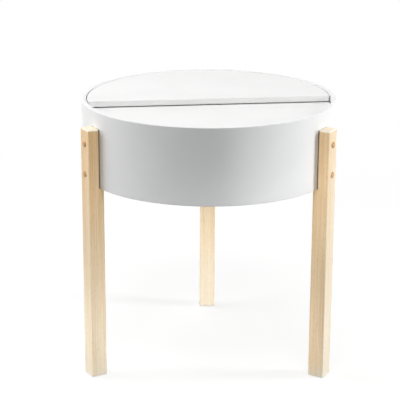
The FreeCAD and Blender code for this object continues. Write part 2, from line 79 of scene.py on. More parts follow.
def middle(node):
    low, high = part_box(node)
    return (low + high) / 2


def heights_of(node):
    return tuple(corner.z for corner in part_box(node))


def loose_parts(node):
    """Points of each separate solid of a CAD node, always in the same order."""
    bm = bmesh.new()
    bm.from_mesh(frame["nodes"][node].data)
    bmesh.ops.remove_doubles(bm, verts=bm.verts, dist=WELD)
    waiting = dict.fromkeys(bm.verts)
    parts = []
    while waiting:
        reached = [waiting.popitem()[0]]
        for vert in reached:
            for edge in vert.link_edges:
                beside = edge.other_vert(vert)
                if beside in waiting:
                    del waiting[beside]
                    reached.append(beside)
        parts.append([vert.co.copy() for vert in reached])
    bm.free()
    return parts


def centre_of(points):
    low = Vector([min(p[k] for p in points) for k in range(3)])
    high = Vector([max(p[k] for p in points) for k in range(3)])
    return (low + high) / 2


def about_radius(points):
    """Turn and height of a solid turned about a radial line, and its points.

    A point is given as its distance outward and its distance from that line."""
    centre = centre_of(points)
    turn = math.atan2(centre.y - AXIS.y, centre.x - AXIS.x)
    back = Matrix.Rotation(-turn, 3, "Z")
    local = [back @ (p - AXIS) for p in points]
    return turn, centre.z, [(p.x, math.hypot(p.y, p.z - centre.z)) for p in local]


def ends_of(spots):
    """How far out a solid turned about a radial line starts and ends."""
    return min(out for out, _ in spots), max(out for out, _ in spots)


def widest(spots):
    return max(distance for _, distance in spots)


def bore_of(spots):
    return min(distance for _, distance in spots)


def first_solid(node):
    """Points, as (way out, distance from its line), of the first of a node's turned solids."""
    _, _, spots = about_radius(loose_parts(node)[0])
    return spots


def bolt_heights():
    """Heights of a leg's two bolts."""
    heights = [centre_of(points).z for points in loose_parts("leg_washers")]
    return min(heights), max(heights)


def bearing(node):
    """Direction in which a node stands from the drum's axis."""
    away = middle(node) - AXIS
    return math.atan2(away.y, away.x)


# the lid's pivot line crosses the drum's axis
PIVOT = Vector(frame["joints"][0]["pos_m"])
PIVOT_LINE = Vector(frame["joints"][0]["axis"])
PIVOT_HEIGHT = PIVOT.z
TOP_TURN = math.atan2(PIVOT_LINE.y, PIVOT_LINE.x)
AXIS = Vector((PIVOT.x, PIVOT.y, 0.0))
INNER_RADIUS, OUTER_RADIUS = spread_of("drum_shell")
DRUM_LOW, RIM = heights_of("drum_shell")
LEG_TURN = {side: bearing(f"leg_{side}") for side in LEGS}
LOW_BOLT, HIGH_BOLT = bolt_heights()
BOLT_SEAT, _ = ends_of(first_solid("leg_washers"))
BOLT_CLEAR = bore_of(first_solid("leg_washers"))
PLUG_RADIUS = widest(first_solid("plugs_back"))
PIN_BORE = bore_of(first_solid("pivot_bush_left"))
_, BUSH_END = ends_of(first_solid("pivot_bush_left"))
BUSH_RADIUS = widest(spot for spot in first_solid("pivot_bush_left") if spot[0] > BUSH_END - SAME)

# --- meshes ---------------------------------------------------------------------

# rounding of edges, and of the corners of a board's outline
RIM_EASE = 1.5 * MM
LID_EASE = 1.0 * MM
LID_CORNER = 2.5 * MM
PANEL_EASE = 0.8 * MM
PANEL_CORNER = 2.0 * MM
TIMBER_EASE = 0.6 * MM
TIMBER_CORNER = 1.2 * MM
LEG_TOP_EASE = 3.0 * MM
LEG_ARRIS_EASE = 1.8 * MM
LEG_FOOT_EASE = 1.2 * MM
FELT_EASE = 0.4 * MM
BLUNT_CORNER = math.radians(25)
# steps of curves: an eased edge, the drum and its boards, a board's fitted end, small turned pieces
EASE_STEPS = 4
ROUND_STEPS = 256
FITTED_STEPS = 12
BORE_STEPS = 32
DISC_STEPS = 40
BOLT_STEPS = 48
NUT_STEPS = 96


def drum_frame(turn=0.0, height=0.0):
    """From a frame on the drum's axis, turned about Z, to the model's frame."""
    return Matrix.Translation(AXIS + Vector((0, 0, height))) @ Matrix.Rotation(turn, 4, "Z")


def radial_frame(turn, height):
    """From a frame whose Z points outward along a radius to the model's frame."""
    return drum_frame(turn, height) @ Matrix.Rotation(math.pi / 2, 4, "Y")


def quarter_turn(steps):
    """Angles from 0 to 90 degrees."""
    return [math.pi / 2 * k / steps for k in range(steps + 1)]


def eased(low, high, ease):
    """Section of an edge-eased board: (inset, height, worn) from the lower to the upper face."""
    support = ease / 2
    lower = [(ease * (1 - math.sin(a)), low + ease * (1 - math.cos(a)), 1.0)
             for a in quarter_turn(EASE_STEPS)]
    upper = [(inset, high - (height - low), worn) for inset, height, worn in reversed(lower)]
    return ([(ease + support, low, 0.0)] + lower + [(0.0, low + ease + support, 0.0)]
            + [(0.0, high - ease - support, 0.0)] + upper + [(ease + support, high, 0.0)])


def inset_outline(outline, distance):
    """The outline moved inward by a distance, corners kept as mitres."""
    moved = []
    for k, here in enumerate(outline):
        before = (here - outline[k - 1]).normalized()
        after = (outline[(k + 1) % len(outline)] - here).normalized()
        normal = Vector((-before.y, before.x)) + Vector((-after.y, after.x))
        moved.append(here + normal * (distance / (1 + before.dot(after))))
    return moved


def softened(outline, radius):
    """The outline with a short curve at each corner that turns by more than BLUNT_CORNER."""
    points = []
    for k, here in enumerate(outline):
        before = (outline[k - 1] - here).normalized()
        after = (outline[(k + 1) % len(outline)] - here).normalized()
        if before.angle(-after) < BLUNT_CORNER:
            points.append(here)
            continue
        back = radius / math.tan(before.angle(after) / 2)
        start, end = here + before * back, here + after * back
        for step in range(EASE_STEPS + 1):
            share = step / EASE_STEPS
            points.append(start.lerp(here, share).lerp(here.lerp(end, share), share))
    return points


def bridge(bm, lower, upper):
    """Faces between two closed rings of as many points."""
    for k in range(len(lower)):
        after = (k + 1) % len(lower)
        bm.faces.new((lower[k], lower[after], upper[after], upper[k]))


def add_board(bm, outline, section, matrix):
    """Solid board: its outline repeated at each (inset, height, worn) of the section."""
    mask = bm.verts.layers.float.get(EDGE_MASK) or bm.verts.layers.float.new(EDGE_MASK)
    rings = []
    for inset, height, worn in section:
        ring = [bm.verts.new(matrix @ Vector((p.x, p.y, height)))
                for p in inset_outline(outline, inset)]
        for vert in ring:
            vert[mask] = worn
        rings.append(ring)
    for lower, upper in zip(rings, rings[1:]):
        bridge(bm, lower, upper)
    bm.faces.new(list(reversed(rings[0])))
    bm.faces.new(rings[-1])


def add_turned(bm, profile, matrix, steps, ring=False):
    """Turned body about Z: (radius, height, worn) points, the ends on the axis unless it is a ring.

    A radius may also be a function of the angle, for a hexagon or a thread."""
    mask = bm.verts.layers.float.get(EDGE_MASK) or bm.verts.layers.float.new(EDGE_MASK)
    rings = []
    for radius, height, worn in profile:
        count = 1 if radius == 0 else steps
        loop = []
        for k in range(count):
            angle = 2 * math.pi * k / steps
            reach = radius(angle) if callable(radius) else radius
            spot = Vector((reach * math.cos(angle), reach * math.sin(angle), height))
            vert = bm.verts.new(matrix @ spot)
            vert[mask] = worn
            loop.append(vert)
        rings.append(loop)
    pairs = list(zip(rings, rings[1:])) + ([(rings[-1], rings[0])] if ring else [])
    for lower, upper in pairs:
        if len(lower) == len(upper):
            bridge(bm, lower, upper)
            continue
        pole, loop = (lower[0], upper) if len(lower) == 1 else (upper[0], lower)
        for k in range(steps):
            bm.faces.new((pole, loop[k], loop[(k + 1) % steps]))


def mesh_of(bm, name):
    bmesh.ops.recalc_face_normals(bm, faces=bm.faces)
    mesh = bpy.data.meshes.new(name)
    bm.to_mesh(mesh)
    bm.free()
    return mesh


def add_piece(name, bm, slot, node, body="table", cutters=None, finish=None, ease=0.0):
    """A finished piece that stands for a CAD node and moves with its body."""
    piece = bpy.data.objects.new(name, mesh_of(bm, name))
    bpy.context.scene.collection.objects.link(piece)
    if ease:
        round_edges(piece, ease)
    if cutters:
        cut_out(piece, cutters)
    for face in piece.data.polygons:
        face.use_smooth = True
    piece.data.set_sharp_from_angle(angle=SHARP_CORNER)
    piece.data.materials.clear()
    piece.data.materials.append(finish or FINISHES[slot])
    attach(piece, body)
    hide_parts(node)
    return piece


def round_edges(piece, ease):
    """Rounds each edge by its bevel weight's share of the widest ease."""
    modifier = piece.modifiers.new("eased", "BEVEL")
    modifier.limit_method = "WEIGHT"
    modifier.width = ease
    modifier.segments = EASE_STEPS


def cut_out(piece, cutters):
    """Takes the cutters' volume from a piece, and leaves a plain mesh."""
    tool = bpy.data.objects.new("cutters", mesh_of(cutters, "cutters"))
    bpy.context.scene.collection.objects.link(tool)
    modifier = piece.modifiers.new("bores", "BOOLEAN")
    modifier.operation = "DIFFERENCE"
    modifier.solver = "EXACT"
    modifier.object = tool
    bpy.context.view_layer.update()
    shaped = bpy.data.meshes.new_from_object(piece.evaluated_get(bpy.context.evaluated_depsgraph_get()))
    piece.modifiers.clear()
    piece.data = shaped
    bpy.data.objects.remove(tool)


def add_cylinder(bm, radius, low, high, matrix):
    add_turned(bm, [(0, low, 0), (radius, low, 0), (radius, high, 0), (0, high, 0)], matrix, BORE_STEPS)


# --- outlines -------------------------------------------------------------------


def along_arc(radius, start, stop, steps):
    angles = [start + (stop - start) * k / steps for k in range(steps + 1)]
    return [Vector((radius * math.cos(a), radius * math.sin(a))) for a in angles]


def segment_outline(radius, edge, rear):
    """Round board behind, or in front of, a straight edge at y = edge."""
    rise = math.asin(edge / radius)
    if rear:
        return along_arc(radius, rise, math.pi - rise, ROUND_STEPS // 2)
    return along_arc(radius, math.pi - rise, 2 * math.pi + rise, ROUND_STEPS // 2)


def fitted_outline(y_low, y_high, radius, x_low=None, x_high=None):
    """Board between two lines, its open ends cut to the curve of the wall."""
    heights = [y_low + (y_high - y_low) * k / FITTED_STEPS for k in range(FITTED_STEPS + 1)]
    right = [Vector((math.sqrt(radius ** 2 - y * y), y)) for y in heights]
    left = [Vector((-math.sqrt(radius ** 2 - y * y), y)) for y in reversed(heights)]
    if x_high is not None:
        right = [Vector((x_high, y_low)), Vector((x_high, y_high))]
    if x_low is not None:
        left = [Vector((x_low, y_high)), Vector((x_low, y_low))]
    return right + left


# --- node trees -----------------------------------------------------------------


def add_node(tree, kind, inputs=None, **settings):
    """A node with its settings, its inputs set or linked by name or index."""
    made = tree.nodes.new(kind)
    for name, value in settings.items():
        setattr(made, name, value)
    for key, value in (inputs or {}).items():
        if isinstance(value, bpy.types.NodeSocket):
            tree.links.new(value, made.inputs[key])
        else:
            made.inputs[key].default_value = value
    return made


def place_on_piece(tree):
    """A point's place in the model's frame, carried along when the piece moves."""
    return add_node(tree, "ShaderNodeTexCoord").outputs["Object"]


def axes_of(tree, vector):
    return add_node(tree, "ShaderNodeSeparateXYZ", {0: vector}).outputs


def length_of(tree, vector):
    return add_node(tree, "ShaderNodeVectorMath", {0: vector}, operation="LENGTH").outputs["Value"]


def wear_and_glint_share(tree, scale, detail, patches_low, patches_high, least, most):
    """How far the finish is worn off at marked edges, and on the legs' tops a painted highlight with wear: patchy,
    and only where the mesh is marked as worn.
    """
    worn = add_node(tree, "ShaderNodeAttribute", attribute_name=EDGE_MASK).outputs["Fac"]
    patches = noise(tree, place_on_piece(tree), scale, detail)
    return math_of(tree, "MULTIPLY", worn, remap(tree, patches, patches_low, patches_high, least, most))


def scaled(tree, vector, scale):
    return add_node(tree, "ShaderNodeVectorMath", {0: vector, 1: scale}, operation="MULTIPLY").outputs[0]


def noise(tree, vector, scale=1.0, detail=2.0, roughness=0.5):
    texture = add_node(tree, "ShaderNodeTexNoise",
                       {"Vector": vector, "Scale": scale, "Detail": detail, "Roughness": roughness})
    return texture.outputs[0]


def remap(tree, value, old_low, old_high, new_low, new_high):
    return add_node(tree, "ShaderNodeMapRange", {
        0: value, 1: old_low, 2: old_high, 3: new_low, 4: new_high}).outputs[0]


def math_of(tree, operation, first, second=0.0):
    return add_node(tree, "ShaderNodeMath", {0: first, 1: second}, operation=operation).outputs[0]


def blended(tree, share, first, second):
    """Colour mix; a colour is a socket or linear red, green and blue."""
    first = first if isinstance(first, bpy.types.NodeSocket) else (*first, 1.0)
    second = second if isinstance(second, bpy.types.NodeSocket) else (*second, 1.0)
    return add_node(tree, "ShaderNodeMix", {0: share, 6: first, 7: second}, data_type="RGBA").outputs[2]


def ramp(tree, value, stops):
    """Smooth curve through (position, grey) stops."""
    made = add_node(tree, "ShaderNodeValToRGB", {0: value})
    made.color_ramp.interpolation = "EASE"
    points = made.color_ramp.elements
    while len(points) < len(stops):
        points.new(0.5)
    for point, (position, grey) in zip(points, stops):
        point.position = position
        point.color = (grey, grey, grey, 1.0)
    return made.outputs[0]


def relief(tree, height, distance, normal=None):
    """Bump of a real depth in metres."""
    inputs = {"Height": height, "Distance": distance, "Strength": 1.0}
    if normal:
        inputs["Normal"] = normal
    return add_node(tree, "ShaderNodeBump", inputs).outputs[0]


def new_finish(name, **fixed):
    """Material with one Principled shader; its uniform values are set on the sockets."""
    material = bpy.data.materials.new(name)
    material.use_nodes = True
    shader = material.node_tree.nodes["Principled BSDF"]
    for key, value in fixed.items():
        shader.inputs[key.replace("_", " ")].default_value = value
    return material, material.node_tree, shader


def plug_in(tree, shader, colour, roughness, normal):
    tree.links.new(colour, shader.inputs["Base Color"])
    tree.links.new(roughness, shader.inputs["Roughness"])
    tree.links.new(normal, shader.inputs["Normal"])


# --- finishes -------------------------------------------------------------------

# colours: linear red, green and blue
SAP_PALE = (0.945, 0.86, 0.70)
SAP_DARK = (0.88, 0.74, 0.53)
HEART_PALE = (0.98, 0.70, 0.385)
HEART_DARK = (0.85, 0.545, 0.25)
PLUG_PALE = (0.74, 0.45, 0.24)
PLUG_DARK = (0.48, 0.25, 0.11)
PINE = (0.84, 0.64, 0.38)
PINE_LATE = (0.60, 0.37, 0.17)
PORE_BROWN = (0.40, 0.23, 0.10)
# near white for the legs' top edges: a painted highlight, partly wear
RUBBED_AND_GLINT_WOOD = (0.99, 0.96, 0.89)
RUBBED_LACQUER = (0.74, 0.73, 0.71)
# dark colour of the painted shadow where the legs meet the wall
PAINTED_JOINT_SHADOW = (0.11, 0.09, 0.075)
FELT_DARK = (0.62, 0.60, 0.55)
FELT_PALE = (0.74, 0.72, 0.67)
NYLON_PALE = (0.80, 0.80, 0.76)
NYLON_DARK = (0.72, 0.71, 0.66)
# lacquer: its cloudy patches' share of the full colour
DUSK_SHARE = 0.965
# wood: how far its rings sway, how uneven they are in years, and their share of the tone
RING_SWAY = 5.0 * MM
RING_UNEVEN = 0.9
RING_SHARE = 0.38
# wood: relief of its fibres and pores, and how much its roughness varies
FIBRE_RELIEF = 0.05 * MM
PORE_RELIEF = 0.06 * MM
GLOSS_SPREAD = 0.14
# painted shadow line on the wall beside each leg: full width, faded width, strength, depth into the wall
SHADOW_LINE_CORE = 0.6 * MM
SHADOW_LINE_REACH = 2.6 * MM
SHADOW_LINE_STRENGTH = 0.8
SHADOW_LINE_DEPTH = 3.0 * MM
# legs: stretch, as shares of half the height, over which the warmth rises from sap to heartwood; the rise is also
# painted shade, warmer and darker up in the drum's shade
WARMTH_SPAN = (-0.75, 0.95)
# depths between which the outer face's own tone fades in, kept paler as painted light on the brighter lit face,
# and the paler top end, a painted highlight on the lit top and partly wear
SKIN_FADE = (1.8 * MM, 0.4 * MM)
END_FADE = (1.6 * MM, 0.4 * MM)
END_WARMTH = 0.15
# painted shadow in the rebate, on the leg's sides next to the wall: strength, and distances from the wall between
# which it fades out
REBATE_SHADOW_STRENGTH = 0.9
REBATE_SHADOW_FADE = (0.2 * MM, 1.8 * MM)
# height of the part at the foot painted paler as painted light, brighter near the floor, and the lacquer's least
# roughness
PAINTED_LIGHT_FOOT = 30.0 * MM
LEG_GLOSS = 0.4


def in_piece_frame(tree, centre, turn):
    """Place on a piece measured from its centre: X outward, Y across, Z up along the grain."""
    away = add_node(tree, "ShaderNodeVectorMath", {0: place_on_piece(tree), 1: centre},
                    operation="SUBTRACT")
    return add_node(tree, "ShaderNodeVectorRotate", {"Vector": away.outputs[0], "Angle": -turn},
                    rotation_type="Z_AXIS").outputs[0]


def painted_shadow_beside_legs(tree):
    """Strength of a painted shadow: the fine dark line where the outer wall meets a leg, fading away from it."""
    line = 0.0
    for side in LEGS:
        right, left = extent(f"leg_{side}", LEG_TURN[side])
        place = axes_of(tree, in_piece_frame(tree, AXIS, LEG_TURN[side]))
        across = math_of(tree, "ABSOLUTE", place["Y"])
        off_edge = math_of(tree, "ABSOLUTE", math_of(tree, "SUBTRACT", across, (left - right) / 2))
        shade = remap(tree, off_edge, SHADOW_LINE_CORE, SHADOW_LINE_REACH, SHADOW_LINE_STRENGTH, 0.0)
        _, top = heights_of(f"leg_{side}")
        below = remap(tree, place["Z"], top - MM, top, 1.0, 0.0)
        outside = math_of(tree, "GREATER_THAN", place["X"], OUTER_RADIUS - SHADOW_LINE_DEPTH)
        shade = math_of(tree, "MULTIPLY", math_of(tree, "MULTIPLY", shade, below), outside)
        line = math_of(tree, "MAXIMUM", line, shade)
    return line


def white_lacquer(name, colour, sheen_low, sheen_high, peel):
    """Sprayed lacquer: faint clouding, orange peel and edges worn thin, with a painted shadow line on the outer
    wall beside each leg.
    """
    material, tree, shader = new_finish(name)
    here = place_on_piece(tree)
    cloud = noise(tree, here, scale=9.0, detail=3.0)
    grain = noise(tree, here, scale=420.0, detail=3.0)
    dusk = tuple(DUSK_SHARE * channel for channel in colour)
    tone = blended(tree, remap(tree, cloud, 0.35, 0.65, 0.0, 1.0), colour, dusk)
    tone = blended(tree, remap(tree, grain, 0.3, 0.7, 0.0, 0.35), tone, dusk)
    # painted shadow: a fine dark line on the wall beside each leg
    tone = blended(tree, painted_shadow_beside_legs(tree), tone, PAINTED_JOINT_SHADOW)
    tone = blended(tree, wear_and_glint_share(tree, 60.0, 4.0, 0.45, 0.7, 0.0, 0.4), tone, RUBBED_LACQUER)
    smears = noise(tree, here, scale=35.0, detail=5.0, roughness=0.65)
    sheen = remap(tree, smears, 0.3, 0.7, sheen_low, sheen_high)
    waves = relief(tree, noise(tree, here, scale=28.0, detail=1.0), 0.05 * MM)
    skin = relief(tree, noise(tree, here, scale=750.0, detail=2.0), peel, waves)
    plug_in(tree, shader, tone, sheen, skin)
    return material


def growth_rings(tree, local, pith, ring_pitch):
    """Grey of early to late wood; pith is where the tree's middle lies beside the piece."""
    bend = noise(tree, scaled(tree, local, (9.0, 9.0, 2.2)), detail=2.0)
    sway = remap(tree, bend, 0.0, 1.0, -RING_SWAY, RING_SWAY)
    flat = scaled(tree, local, (1.0, 1.0, 0.012))
    spoke = add_node(tree, "ShaderNodeVectorMath", {0: flat, 1: (*pith, 0.0)}, operation="SUBTRACT")
    depth = length_of(tree, spoke.outputs[0])
    year = math_of(tree, "DIVIDE", math_of(tree, "ADD", depth, sway), ring_pitch)
    uneven = noise(tree, scaled(tree, local, (45.0, 45.0, 1.0)), detail=1.0)
    year = math_of(tree, "ADD", year, remap(tree, uneven, 0.0, 1.0, -RING_UNEVEN, RING_UNEVEN))
    return ramp(tree, math_of(tree, "FRACT", year), ((0.0, 0.0), (0.5, 0.2), (0.86, 1.0), (1.0, 0.0)))


def finish_wood(tree, shader, local, pith, ring_pitch, pale, dark, gloss):
    """Straight grain between a pale and a dark tone, with fibres, pores and a thin lacquer."""
    rings = growth_rings(tree, local, pith, ring_pitch)
    bands = noise(tree, scaled(tree, local, (170.0, 170.0, 3.0)), detail=3.0)
    streaks = noise(tree, scaled(tree, local, (420.0, 420.0, 7.0)), detail=2.0)
    fibres = noise(tree, scaled(tree, local, (1100.0, 1100.0, 22.0)), detail=3.0)
    pores = noise(tree, scaled(tree, local, (1500.0, 1500.0, 150.0)), detail=1.0)
    shade = math_of(tree, "MULTIPLY", rings, RING_SHARE)
    shade = math_of(tree, "ADD", shade, remap(tree, bands, 0.3, 0.7, -0.25, 0.5))
    shade = math_of(tree, "ADD", shade, remap(tree, streaks, 0.3, 0.7, -0.35, 0.4))
    shade = math_of(tree, "ADD", shade, remap(tree, fibres, 0.3, 0.7, -0.2, 0.2))
    tone = blended(tree, shade, pale, dark)
    flecks = remap(tree, pores, 0.62, 0.72, 0.0, 0.35)
    tone = blended(tree, flecks, tone, PORE_BROWN)
    sheen = remap(tree, fibres, 0.3, 0.7, gloss, gloss + GLOSS_SPREAD)
    surface = relief(tree, fibres, FIBRE_RELIEF)
    surface = relief(tree, pores, -PORE_RELIEF, surface)
    plug_in(tree, shader, tone, sheen, surface)


def solid_wood(name, centre, turn, pith, ring_pitch, pale, dark, gloss):
    """Planed wood of one tone, its grain upright."""
    material, tree, shader = new_finish(name)
    finish_wood(tree, shader, in_piece_frame(tree, centre, turn), pith, ring_pitch, pale, dark, gloss)
    return material


def leg_wood(side, pith, ring_pitch, outer_warmth, inner_warmth):
    """A leg from the edge of the trunk: sapwood towards its outer face and its foot, which is partly painted light
    and shade: paler where the leg is lit brighter, warmer and darker up in the drum's shade.

    Warmth, from sapwood 0 to heartwood 1, is given as (at the foot, at the top)."""
    node = f"leg_{side}"
    material, tree, shader = new_finish(f"leg_wood_{side}")
    local = in_piece_frame(tree, middle(node), LEG_TURN[side])
    place = axes_of(tree, local)
    reach = math.hypot(*(middle(node) - AXIS).xy)
    end = heights_of(node)[1] - middle(node).z
    skin = extent(node, LEG_TURN[side], "x")[1] - reach
    # painted light and shade, partly the wood's own sap and heartwood: the outer face keeps a paler tone, and the
    # tone runs paler towards the foot and warmer up in the drum's shade
    outer = remap(tree, place["X"], skin - SKIN_FADE[0], skin - SKIN_FADE[1], 0.0, 1.0)
    low, high = (share * end for share in WARMTH_SPAN)
    warmth = add_node(tree, "ShaderNodeMix", {
        0: outer,
        2: remap(tree, place["Z"], low, high, *inner_warmth),
        3: remap(tree, place["Z"], low, high, *outer_warmth)}).outputs[0]
    # painted highlight on the lit top end, partly wear: its tone turns paler near the top
    paler_top_end = remap(tree, place["Z"], end - END_FADE[0], end - END_FADE[1], 1.0, END_WARMTH)
    # painted light: the tone turns paler towards the foot, which is lit brighter near the floor
    painted_light_foot = remap(tree, place["Z"], -end, -end + PAINTED_LIGHT_FOOT, 0.0, 1.0)
    warmth = math_of(tree, "MULTIPLY", math_of(tree, "MULTIPLY", warmth, paler_top_end), painted_light_foot)
    # painted shadow: the leg's sides darken close to the wall, beside the drum
    rebate = OUTER_RADIUS - reach
    rebate_shadow = remap(tree, place["X"], rebate + REBATE_SHADOW_FADE[0], rebate + REBATE_SHADOW_FADE[1],
                  REBATE_SHADOW_STRENGTH, 0.0)
    shoulder = DRUM_LOW - middle(node).z
    rebate_shadow = math_of(tree, "MULTIPLY", rebate_shadow, remap(tree, place["Z"], shoulder, shoulder + MM, 0.0, 1.0))
    # painted highlight, partly wear: the rounded top edges turn near white in patches
    rubbed_and_glint = wear_and_glint_share(tree, 90.0, 3.0, 0.35, 0.6, 0.5, 0.9)
    tones = []
    for sap, heart in ((SAP_PALE, HEART_PALE), (SAP_DARK, HEART_DARK)):
        tone = blended(tree, rubbed_and_glint, blended(tree, warmth, sap, heart), RUBBED_AND_GLINT_WOOD)
        tones.append(blended(tree, rebate_shadow, tone, PAINTED_JOINT_SHADOW))
    finish_wood(tree, shader, local, pith, ring_pitch, *tones, LEG_GLOSS)
    return material


def felt():
    """Pressed wool: matted fibres in two greys, with a soft nap."""
    material, tree, shader = new_finish("felt", Sheen_Weight=0.5, Sheen_Roughness=0.6)
    here = place_on_piece(tree)
    mat = noise(tree, here, scale=1600.0, detail=5.0, roughness=0.75)
    strands = noise(tree, scaled(tree, here, (3800.0, 900.0, 1500.0)), detail=3.0)
    tone = blended(tree, remap(tree, mat, 0.35, 0.65, 0.0, 1.0), FELT_DARK, FELT_PALE)
    nap = relief(tree, math_of(tree, "ADD", mat, strands), 0.3 * MM)
    plug_in(tree, shader, tone, remap(tree, strands, 0.3, 0.7, 0.85, 1.0), nap)
    return material


def bare_metal(name, colour, tint, rough_low, rough_high, brushed):
    """Plated or ground steel: tinted patches and fine marks, drawn out where `brushed` is low."""
    material, tree, shader = new_finish(name, Metallic=1.0)
    here = place_on_piece(tree)
    patches = noise(tree, here, scale=260.0, detail=3.0)
    marks = noise(tree, scaled(tree, here, brushed), detail=4.0, roughness=0.7)
    tone = blended(tree, remap(tree, patches, 0.35, 0.65, 0.0, 1.0), colour, tint)
    plug_in(tree, shader, tone, remap(tree, marks, 0.3, 0.7, rough_low, rough_high),
            relief(tree, marks, 0.01 * MM))
    return material


def moulded_nylon():
    """Milky moulded plastic with a fine spark texture and a cloudy gloss."""
    material, tree, shader = new_finish("moulded_nylon", Subsurface_Weight=0.15, Subsurface_Scale=0.002)
    here = place_on_piece(tree)
    flow = noise(tree, here, scale=180.0, detail=3.0)
    spark = noise(tree, here, scale=3200.0, detail=2.0)
    tone = blended(tree, remap(tree, flow, 0.3, 0.7, 0.0, 1.0), NYLON_PALE, NYLON_DARK)
    plug_in(tree, shader, tone, remap(tree, flow, 0.3, 0.7, 0.38, 0.55), relief(tree, spark, 0.02 * MM))
    return material


FINISHES = {
    "white_shell": white_lacquer("white_shell", (0.90, 0.905, 0.91), 0.30, 0.42, 0.012 * MM),
    "white_top": white_lacquer("white_top", (0.915, 0.915, 0.91), 0.34, 0.46, 0.009 * MM),
    "white_inside": white_lacquer("white_inside", (0.88, 0.88, 0.87), 0.55, 0.70, 0.02 * MM),
    "plain_block": solid_wood("plain_block", AXIS, TOP_TURN, (0.09, -0.31), 3.2 * MM,
                              PINE, PINE_LATE, 0.6),
    "felt": felt(),
    "zinc_steel": bare_metal("zinc_steel", (0.66, 0.68, 0.70), (0.60, 0.60, 0.56), 0.28, 0.42,
                             (900.0, 900.0, 900.0)),
    "pin_steel": bare_metal("pin_steel", (0.62, 0.63, 0.65), (0.56, 0.57, 0.58), 0.18, 0.30,
                            (2600.0, 400.0, 400.0)),
    "nylon": moulded_nylon(),
}
LEG_FINISHES = {
    "front_left": leg_wood("front_left", (0.055, 0.05), 4.2 * MM, (0.2, 0.85), (0.22, 1.0)),
    "front_right": leg_wood("front_right", (-0.045, 0.075), 5.0 * MM, (0.0, 0.42), (0.55, 0.88)),
    "back": leg_wood("back", (-0.07, -0.03), 4.6 * MM, (0.1, 0.6), (0.12, 1.0)),
}
PLUG_FINISHES = {
    side: solid_wood(f"plug_wood_{side}", middle(f"plugs_{side}"), LEG_TURN[side],
                     (0.004, 0.009), 1.6 * MM, PLUG_PALE, PLUG_DARK, 0.42)
    for side in LEGS
}

# --- the drum -------------------------------------------------------------------

# rings of the wall this far above and below each bolt, and below the pivots, border its bores
BOLT_MARGIN = 6.0 * MM
PIVOT_MARGIN = 7.0 * MM


def make_drum():
    """Bent-plywood wall with rounded rims, bored for the bolts and the pivots."""
    bm = bmesh.new()
    section = eased(DRUM_LOW, RIM, RIM_EASE)
    half = len(section) // 2
    bored = [(0.0, bolt + shift, 0.0) for bolt in (LOW_BOLT, HIGH_BOLT)
             for shift in (-BOLT_MARGIN, BOLT_MARGIN)]
    seated = [(0.0, PIVOT_HEIGHT - PIVOT_MARGIN, 0.0)]
    outer_side = section[:half] + bored + section[half:]
    inner_side = section[:half] + bored + seated + section[half:]
    outside = [(OUTER_RADIUS - inset, height, worn) for inset, height, worn in outer_side]
    inside = [(INNER_RADIUS + inset, height, worn) for inset, height, worn in reversed(inner_side)]
    add_turned(bm, outside + inside, drum_frame(), ROUND_STEPS, ring=True)
    cutters = bmesh.new()
    wall = OUTER_RADIUS - INNER_RADIUS
    for side in LEGS:
        for height in (LOW_BOLT, HIGH_BOLT):
            add_cylinder(cutters, BOLT_CLEAR, INNER_RADIUS - wall, OUTER_RADIUS + wall,
                         radial_frame(LEG_TURN[side], height))
    for turn in (TOP_TURN, TOP_TURN + math.pi):
        add_cylinder(cutters, BUSH_RADIUS, INNER_RADIUS - wall, BUSH_END + SEAT_SPARE,
                     radial_frame(turn, PIVOT_HEIGHT))
    add_piece("white_drum", bm, "white_shell", "drum_shell", cutters=cutters)


# --- boards ---------------------------------------------------------------------


def board_radius(node):
    return spread_of(node)[1]


def make_lid():
    """Half-moon lid with eased edges, bored at its ends for the pins."""
    low, high = heights_of("lift_lid")
    edge = extent("lift_lid", TOP_TURN)[0]
    bm = bmesh.new()
    outline = softened(segment_outline(board_radius("lift_lid"), edge, rear=True), LID_CORNER)
    add_board(bm, outline, eased(low, high, LID_EASE), drum_frame(TOP_TURN))
    cutters = bmesh.new()
    inner, _ = spread_of("pivot_pin_left")
    for turn in (TOP_TURN, TOP_TURN + math.pi):
        add_cylinder(cutters, PIN_BORE, inner, OUTER_RADIUS, radial_frame(turn, PIVOT_HEIGHT))
    add_piece("lid_board", bm, "white_top", "lift_lid", body="lid", cutters=cutters)


def make_panel():
    """Fixed board over the front of the drum."""
    low, high = heights_of("front_panel")
    edge = extent("front_panel", TOP_TURN)[1]
    bm = bmesh.new()
    outline = softened(segment_outline(board_radius("front_panel"), edge, rear=False), PANEL_CORNER)
    add_board(bm, outline, eased(low, high, PANEL_EASE), drum_frame(TOP_TURN))
    add_piece("front_board", bm, "white_top", "front_panel")


def add_timber(name, node, slot, outline, turn):
    low, high = heights_of(node)
    bm = bmesh.new()
    add_board(bm, softened(outline, TIMBER_CORNER), eased(low, high, TIMBER_EASE), drum_frame(turn))
    add_piece(name, bm, slot, node)


